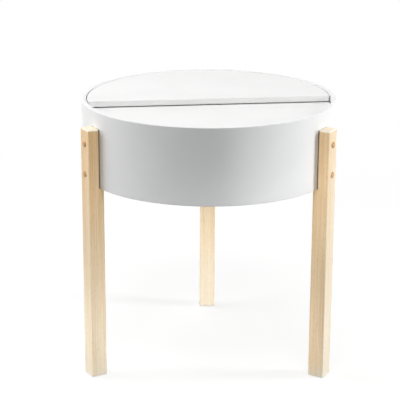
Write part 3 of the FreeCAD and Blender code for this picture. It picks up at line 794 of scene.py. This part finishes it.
def make_timbers():
    """Cross rail, its corner blocks and the backing blocks, planed and cut to the wall."""
    fit = board_radius("cross_rail")
    y_low, y_high = extent("cross_rail", TOP_TURN)
    add_timber("rail_board", "cross_rail", "white_inside", fitted_outline(y_low, y_high, fit),
               TOP_TURN)
    for side in ("left", "right"):
        node = f"rail_block_{side}"
        y_low, y_high = extent(node, TOP_TURN)
        x_low, x_high = extent(node, TOP_TURN, "x")
        limits = {"x_high": x_high} if side == "left" else {"x_low": x_low}
        add_timber(f"corner_block_{side}", node, "plain_block",
                   fitted_outline(y_low, y_high, fit, **limits), TOP_TURN)
    for side in LEGS:
        node = f"backing_block_{side}"
        y_low, y_high = extent(node, LEG_TURN[side])
        x_low = extent(node, LEG_TURN[side], "x")[0]
        add_timber(f"nut_block_{side}", node, "plain_block",
                   fitted_outline(y_low, y_high, fit, x_low=x_low), LEG_TURN[side])


# --- legs -----------------------------------------------------------------------

# length at a nail's tip over which its shank is measured
NAIL_SHANK = 3.0 * MM
# a unit normal with a part above this lies along an axis of the leg
FLAT = 0.999
# the worn part of a leg's top edges, also painted with a highlight, stays this near to both faces
CROWN_REACH = 0.95 * LEG_TOP_EASE


def make_legs():
    """Square legs with rounded edges, rebated for the drum and bored for bolts, plugs and nail."""
    for side in LEGS:
        turn = LEG_TURN[side]
        inner, face = extent(f"leg_{side}", turn, "x")
        right, left = extent(f"leg_{side}", turn)
        foot, top = heights_of(f"leg_{side}")
        size = Vector((face - inner, left - right, top - foot))
        centre = Vector((inner + face, right + left, foot + top)) / 2
        bm = bmesh.new()
        bmesh.ops.create_cube(bm, size=1.0,
                              matrix=drum_frame(turn) @ Matrix.LocRotScale(centre, None, size))
        weigh_edges(bm, foot, top)
        cutters = bmesh.new()
        corners = ((inner - MM, right - MM), (OUTER_RADIUS, right - MM),
                   (OUTER_RADIUS, left + MM), (inner - MM, left + MM))
        add_board(cutters, [Vector(corner) for corner in corners],
                  [(0.0, DRUM_LOW, 0.0), (0.0, top + MM, 0.0)], drum_frame(turn))
        bore = [(0, OUTER_RADIUS - MM), (BOLT_CLEAR, OUTER_RADIUS - MM), (BOLT_CLEAR, BOLT_SEAT),
                (PLUG_RADIUS, BOLT_SEAT), (PLUG_RADIUS, face + MM), (0, face + MM)]
        for height in (LOW_BOLT, HIGH_BOLT):
            add_turned(cutters, [(radius, out, 0.0) for radius, out in bore],
                       radial_frame(turn, height), BOLT_STEPS)
        add_nail_hole(cutters, f"foot_glide_{side}", foot)
        piece = add_piece(f"leg_post_{side}", bm, "leg_wood", f"leg_{side}", cutters=cutters,
                          finish=LEG_FINISHES[side], ease=LEG_TOP_EASE)
        wear_and_glint_crown(piece, turn, face, left, top)


def add_nail_hole(cutters, glide, foot):
    """Hole for a glide's nail, as wide and as deep as the nail."""
    points = [v.co for v in frame["nodes"][glide].data.vertices]
    _, tip = heights_of(glide)
    under = middle(glide).xy
    radius = max((point.xy - under).length for point in points if point.z > tip - NAIL_SHANK)
    add_cylinder(cutters, radius, foot - MM, tip, Matrix.Translation(under.to_3d()))


def weigh_edges(bm, foot, top):
    """Each edge's share of the widest ease: full at the top, less on the arrises and the foot."""
    weight = bm.edges.layers.float.new("bevel_weight_edge")
    for edge in bm.edges:
        height = (edge.verts[0].co.z + edge.verts[1].co.z) / 2
        ease = LEG_ARRIS_EASE
        if height > top - MM:
            ease = LEG_TOP_EASE
        if height < foot + MM:
            ease = LEG_FOOT_EASE
        edge[weight] = ease / LEG_TOP_EASE


def wear_and_glint_crown(piece, turn, face, side_face, top):
    """Keeps a leg's planed faces flat and marks the rounded edges of its top as worn and for a painted highlight.
    """
    back = Matrix.Rotation(-turn, 3, "Z")
    for polygon in piece.data.polygons:
        polygon.use_smooth = max(abs(part) for part in back @ polygon.normal) < FLAT
    mask = piece.data.attributes.get(EDGE_MASK)
    for vert, worn in zip(piece.data.vertices, mask.data):
        place = back @ (vert.co - AXIS)
        below, inward = top - place.z, min(face - place.x, side_face - abs(place.y))
        worn.value = 1.0 if max(below, inward) < CROWN_REACH else 0.0


# --- plugs, pads and fasteners --------------------------------------------------

# a dome is fuller than an ellipse where this power is below 1
PLUG_FULLNESS = 0.6
PLUG_BEVEL = 0.4 * MM
DOME_STEPS = 12
# threads: rings to each turn, rise of the crest per length at the tip, and steepness of the flanks
THREAD_STEPS = 6
THREAD_TAPER = 0.8
THREAD_FLANK = 1.6
# root radius and threaded length of a bolt; its socket's width across flats
BOLT_PITCH = 1.0 * MM
BOLT_ROOT = 2.45 * MM
BOLT_THREAD = 24.0 * MM
BOLT_BEVEL = 0.5 * MM
SOCKET_FLATS = 5.0 * MM
SOCKET_DEPTH = 3.0 * MM
NUT_CHAMFER = 0.6 * MM
NUT_COUNTERSINK = 0.3 * MM
# a screw's plain shank under the head, and its root as a share of the shank's radius
SCREW_PITCH = 1.4 * MM
SCREW_PLAIN = 4.0 * MM
SCREW_ROOT_SHARE = 0.7
HEAD_STEPS = 8
# recess of a screw: arm and width as shares of the head's radius, depth as one of its height
CROSS_REACH = 0.45
CROSS_WIDTH = 0.26
CROSS_DEPTH = 0.55


def make_plugs():
    """Domed plugs, two in each leg, proud of its face."""
    face = extent("leg_back", LEG_TURN["back"], "x")[1]
    for side in LEGS:
        bm = bmesh.new()
        for points in loose_parts(f"plugs_{side}"):
            turn, height, spots = about_radius(points)
            inner, outer = ends_of(spots)
            radius = widest(spots)
            start = [(0, inner, 0.0), (radius - PLUG_BEVEL, inner, 0.0),
                     (radius, inner + PLUG_BEVEL, 0.0)]
            dome = [(radius * math.cos(a) ** PLUG_FULLNESS,
                     face + (outer - face) * math.sin(a) ** PLUG_FULLNESS, 0.0)
                    for a in quarter_turn(DOME_STEPS)[:-1]]
            add_turned(bm, start + dome + [(0, outer, 0.0)], radial_frame(turn, height), BOLT_STEPS)
        add_piece(f"plug_pair_{side}", bm, "plug_wood", f"plugs_{side}", finish=PLUG_FINISHES[side])


def make_felt_pads():
    """Felt discs with rounded rims."""
    bm = bmesh.new()
    for points in loose_parts("lid_rest_pads"):
        centre = centre_of(points)
        low, high = min(p.z for p in points), max(p.z for p in points)
        radius = max(p.x for p in points) - centre.x
        side = [(radius - inset, height, worn) for inset, height, worn in eased(low, high, FELT_EASE)]
        add_turned(bm, [(0, low, 0)] + side + [(0, high, 0)],
                   Matrix.Translation((centre.x, centre.y, 0)), DISC_STEPS)
    add_piece("felt_discs", bm, "felt", "lid_rest_pads")


def hexagon_of(across_flats, limit=math.inf):
    """Radius of a hexagon as a function of the angle, cut off by a round limit."""
    def radius(angle):
        off_flat = (angle + math.pi / 6) % (math.pi / 3) - math.pi / 6
        return min(across_flats / 2 / math.cos(off_flat), limit)
    return radius


def thread_at(height, root, crest, pitch):
    """Radius of a screw thread at one height, as a function of the angle."""
    def radius(angle):
        turn = (height / pitch - angle / (2 * math.pi)) % 1
        return root + (crest - root) * min(1.0, THREAD_FLANK * (1 - abs(2 * turn - 1)))
    return radius


def thread_profile(low, high, root, crest, pitch):
    """Rings of a threaded stretch, tapered at its lower end."""
    count = round((high - low) / pitch * THREAD_STEPS)
    rings = []
    for k in range(count + 1):
        height = low + (high - low) * k / count
        tip = min(crest, root + (height - low) * THREAD_TAPER)
        rings.append((thread_at(height, root, tip, pitch), height, 0.0))
    return rings


def make_bolts():
    """Socket-head bolts, threaded at the end that takes the nut."""
    bm = bmesh.new()
    for points in loose_parts("leg_bolts"):
        turn, height, spots = about_radius(points)
        tip, face = ends_of(spots)
        head = widest(spots)
        shank = widest(spot for spot in spots if spot[0] < tip + SAME)
        shoulder, _ = ends_of([spot for spot in spots if spot[1] > head - SAME])
        thread_end = tip + BOLT_THREAD
        thread = thread_profile(tip, thread_end, BOLT_ROOT, shank, BOLT_PITCH)
        neck = [(shank, thread_end + BOLT_BEVEL, 0.0), (shank, shoulder, 0.0)]
        rim = [(head, shoulder, 0.0), (head, face - BOLT_BEVEL, 0.0), (head - BOLT_BEVEL, face, 0.0)]
        socket, bottom = hexagon_of(SOCKET_FLATS), face - SOCKET_DEPTH
        recess = [(socket, face, 0.0), (socket, bottom, 0.0), (0, bottom, 0.0)]
        add_turned(bm, [(0, tip, 0.0)] + thread + neck + rim + recess,
                   radial_frame(turn, height), BOLT_STEPS)
    add_piece("socket_bolts", bm, "zinc_steel", "leg_bolts")


def make_nuts():
    """Hexagon nuts with chamfered corners and countersunk bores."""
    bm = bmesh.new()
    for points in loose_parts("leg_nuts"):
        turn, height, spots = about_radius(points)
        inner, outer = ends_of(spots)
        bore, corner = bore_of(spots), widest(spots)
        flats = corner * math.sqrt(3)
        chamfer = [(hexagon_of(flats, flats / 2 + (corner - flats / 2) * share), NUT_CHAMFER * share)
                   for share in (k / EASE_STEPS for k in range(EASE_STEPS + 1))]
        low = [(radius, inner + rise, 0.0) for radius, rise in chamfer]
        high = [(radius, outer - rise, 0.0) for radius, rise in reversed(chamfer)]
        hole = [(bore + NUT_COUNTERSINK, outer, 0.0), (bore, outer - NUT_COUNTERSINK, 0.0),
                (bore, inner + NUT_COUNTERSINK, 0.0), (bore + NUT_COUNTERSINK, inner, 0.0)]
        add_turned(bm, low + high + hole, radial_frame(turn, height), NUT_STEPS, ring=True)
    add_piece("hexagon_nuts", bm, "zinc_steel", "leg_nuts")


def cross_outline(reach, width):
    """Plus sign, for the recess of a screw."""
    half = width / 2
    corner = [(half, reach), (half, half), (reach, half)]
    points = []
    for quarter in range(4):
        turn = Matrix.Rotation(-quarter * math.pi / 2, 2)
        points += [turn @ Vector(p) for p in corner]
    return list(reversed(points))


def make_screws():
    """Pan-head screws with a cross recess, driven upward into the panel."""
    bm = bmesh.new()
    cutters = bmesh.new()
    for points in loose_parts("panel_screws"):
        centre = centre_of(points)
        low, high = min(p.z for p in points), max(p.z for p in points)
        head = max(p.x for p in points) - centre.x
        shank = max(p.x for p in points if p.z > high - SAME) - centre.x
        shoulder = max(p.z for p in points if p.x > centre.x + head - SAME)
        dome = [(head * math.sin(a), shoulder - (shoulder - low) * math.sqrt(math.cos(a)), 0.0)
                for a in quarter_turn(HEAD_STEPS)[1:]]
        # the tip is the thread's upper end, so the tapered profile is made upside down
        root = SCREW_ROOT_SHARE * shank
        thread = thread_profile(-high, -shoulder - SCREW_PLAIN, root, shank, SCREW_PITCH)
        rising = [(radius, -height, worn) for radius, height, worn in reversed(thread)]
        spot = Matrix.Translation((centre.x, centre.y, 0))
        add_turned(bm, [(0, low, 0.0)] + dome + [(shank, shoulder, 0.0)] + rising + [(0, high, 0.0)],
                   spot, DISC_STEPS)
        add_board(cutters, cross_outline(CROSS_REACH * head, CROSS_WIDTH * head),
                  [(0.0, low - MM, 0.0), (0.0, low + CROSS_DEPTH * (shoulder - low), 0.0)], spot)
    add_piece("pan_head_screws", bm, "zinc_steel", "panel_screws", cutters=cutters)


make_drum()
make_lid()
make_panel()
make_timbers()
make_legs()
make_plugs()
make_felt_pads()
make_bolts()
make_nuts()
make_screws()

# --- CAD nodes that stay --------------------------------------------------------

for subpart in frame["record"]["subparts"]:
    if subpart["material_slot"] in FINISHES:
        for place in frame["nodes"][subpart["node"]].material_slots:
            place.material = FINISHES[subpart["material_slot"]]

# --- studio ---------------------------------------------------------------------


def beside_axis(node, height):
    """Aim from the foot of the drum's axis: where a node stands, at a height."""
    away = middle(node) - AXIS
    return Vector((away.x, away.y, height))


DRUM_AIM = Vector((0, 0, 0.42))
LEG_AIM = Vector((0, 0, 0.26))
FEET_AIM = Vector((0, 0, 0.06))
BACK_FOOT_AIM = beside_axis("leg_back", 0.05)
LEFT_LEG_AIM = beside_axis("leg_front_left", 0.32)
RIGHT_LEG_AIM = beside_axis("leg_front_right", 0.36)
WHITE = (1.0, 1.0, 1.0, 1.0)
AMBIENT = 0.02
# floor: how much it reflects onto the table, the lamps' share of its seen brightness, and the whole
FLOOR_BOUNCE = 0.20
FLOOR_SHADOW = 0.30
FLOOR_WHITE = 1.03
# its size, and the distances between which its shadow gives way to plain white
FLOOR_RADIUS = 60.0
FLOOR_STEPS = 96
SHADE_FULL = 0.7
SHADE_GONE = 1.6
# name, point aimed at, azimuth from the front, elevation, distance, width, height, level
SOFT_BOXES = (
    ("right_box", DRUM_AIM, 88.0, 10.0, 2.4, 0.5, 1.6, 0.857),
    ("left_box", DRUM_AIM, -95.0, 15.0, 2.4, 1.6, 1.6, 0.714),
    ("front_box", DRUM_AIM, 0.0, 30.0, 2.6, 1.6, 1.0, 0.08),
    ("top_box", DRUM_AIM, 0.0, 60.0, 2.6, 1.6, 1.0, 0.497),
    ("back_low_box", LEG_AIM, 180.0, 0.0, 2.4, 1.4, 0.4, 0.2),
    ("back_left_box", DRUM_AIM, -140.0, 50.0, 2.4, 1.6, 1.6, 0.36),
)
# name, point aimed at, azimuth from the front, distance, level, beam
LOW_SPOTS = (
    ("back_foot_spot", BACK_FOOT_AIM, 0.0, 2.3, 0.889, 16.0),
    ("left_foot_spot", FEET_AIM, -35.0, 2.0, 0.303, 14.0),
    ("left_leg_spot", LEFT_LEG_AIM, 28.0, 2.4, 0.242, 9.0),
    ("right_leg_spot", RIGHT_LEG_AIM, -28.0, 2.4, 0.364, 9.0),
)
SPOT_RADIUS = 0.1


def add_soft_box(name, aim, azimuth, elevation, distance, width, height, level):
    """Area lamp that alone would light a white surface facing it at its aim to `level` of white."""
    lamp = bpy.data.lights.new(name, "AREA")
    lamp.shape = "RECTANGLE"
    lamp.size = width
    lamp.size_y = height
    lamp.energy = level * (math.pi * distance) ** 2
    place_lamp(lamp, aim, azimuth, elevation, distance)


def add_spot(name, aim, azimuth, distance, level, beam):
    """Narrow horizontal beam with soft edges, for the legs in the drum's shade."""
    lamp = bpy.data.lights.new(name, "SPOT")
    lamp.spot_size = math.radians(beam)
    lamp.spot_blend = 1.0
    lamp.shadow_soft_size = SPOT_RADIUS
    lamp.energy = level * (2 * math.pi * distance) ** 2
    place_lamp(lamp, aim, azimuth, 0.0, distance)


def place_lamp(lamp, aim, azimuth, elevation, distance):
    """Puts a lamp, itself unseen, at a distance from the point that it faces."""
    around, up = math.radians(azimuth), math.radians(elevation)
    away = Vector((math.sin(around) * math.cos(up), -math.cos(around) * math.cos(up), math.sin(up)))
    holder = bpy.data.objects.new(lamp.name, lamp)
    holder.location = AXIS + aim + away * distance
    holder.rotation_euler = away.to_track_quat("Z", "Y").to_euler()
    holder.visible_camera = False
    holder.visible_glossy = False
    bpy.context.scene.collection.objects.link(holder)


def seen_directly(tree):
    """1 for rays that see the background: from the camera, or by reflection or transmission."""
    path = add_node(tree, "ShaderNodeLightPath")
    seen = math_of(tree, "MAXIMUM", path.outputs["Is Camera Ray"], path.outputs["Is Glossy Ray"])
    return math_of(tree, "MAXIMUM", seen, path.outputs["Is Transmission Ray"])


def make_world():
    world = bpy.data.worlds.new("studio")
    world.use_nodes = True
    tree = world.node_tree
    tree.nodes.clear()
    ambient = add_node(tree, "ShaderNodeBackground", {"Color": WHITE, "Strength": AMBIENT})
    white = add_node(tree, "ShaderNodeBackground", {"Color": WHITE, "Strength": 1.0})
    either = add_node(tree, "ShaderNodeMixShader",
                      {0: seen_directly(tree), 1: ambient.outputs[0], 2: white.outputs[0]})
    add_node(tree, "ShaderNodeOutputWorld", {"Surface": either.outputs[0]})
    bpy.context.scene.world = world


def make_floor():
    """Wide pale floor: white where it is lit, a soft shadow under the table."""
    bm = bmesh.new()
    bmesh.ops.create_circle(bm, cap_ends=True, radius=FLOOR_RADIUS, segments=FLOOR_STEPS)
    floor = bpy.data.objects.new("floor", mesh_of(bm, "floor"))
    bpy.context.scene.collection.objects.link(floor)
    material = bpy.data.materials.new("pale_floor")
    material.use_nodes = True
    tree = material.node_tree
    tree.nodes.clear()
    here = place_on_piece(tree)
    mottled = remap(tree, noise(tree, here, scale=3.0, detail=4.0), 0.3, 0.7, 0.97, 1.0)
    bounce_tone = blended(tree, mottled, (0, 0, 0), (FLOOR_BOUNCE,) * 3)
    bounce = add_node(tree, "ShaderNodeBsdfDiffuse", {"Color": bounce_tone})
    lit = add_node(tree, "ShaderNodeBsdfDiffuse", {"Color": (FLOOR_SHADOW,) * 3 + (1,)})
    glow = add_node(tree, "ShaderNodeEmission",
                    {"Color": WHITE, "Strength": FLOOR_WHITE - FLOOR_SHADOW})
    white = add_node(tree, "ShaderNodeEmission", {"Color": WHITE, "Strength": 1.0})
    near = add_node(tree, "ShaderNodeAddShader", {0: lit.outputs[0], 1: glow.outputs[0]})
    far_share = remap(tree, length_of(tree, here), SHADE_FULL, SHADE_GONE, 0.0, 1.0)
    seen = add_node(tree, "ShaderNodeMixShader", {0: far_share, 1: near.outputs[0], 2: white.outputs[0]})
    either = add_node(tree, "ShaderNodeMixShader",
                      {0: seen_directly(tree), 1: bounce.outputs[0], 2: seen.outputs[0]})
    add_node(tree, "ShaderNodeOutputMaterial", {"Surface": either.outputs[0]})
    floor.data.materials.append(material)


PHOTO_WIDTH = 400
SENSOR_WIDTH = 36.0
FOCAL_PIXELS = 1499.52
CAMERA_FROM_AXIS = Vector((-13.3, -2928.45, 1237.8)) * MM
CAMERA_YAW, CAMERA_PITCH, CAMERA_ROLL = 0.0011, 0.3011, 0.004


def make_camera():
    """Camera at the photograph's angle, from its fitted place and focal length."""
    data = bpy.data.cameras.new("camera")
    data.sensor_width = SENSOR_WIDTH
    data.lens = FOCAL_PIXELS * SENSOR_WIDTH / PHOTO_WIDTH
    camera = bpy.data.objects.new("camera", data)
    turn = (Matrix.Rotation(CAMERA_YAW, 4, "Z") @ Matrix.Rotation(math.pi / 2 - CAMERA_PITCH, 4, "X")
            @ Matrix.Rotation(CAMERA_ROLL, 4, "Z"))
    camera.matrix_world = Matrix.Translation(AXIS + CAMERA_FROM_AXIS) @ turn
    bpy.context.scene.collection.objects.link(camera)
    bpy.context.scene.camera = camera


for soft_box in SOFT_BOXES:
    add_soft_box(*soft_box)
for spot in LOW_SPOTS:
    add_spot(*spot)
make_world()
make_floor()
make_camera()
bpy.context.scene.view_settings.view_transform = "Standard"
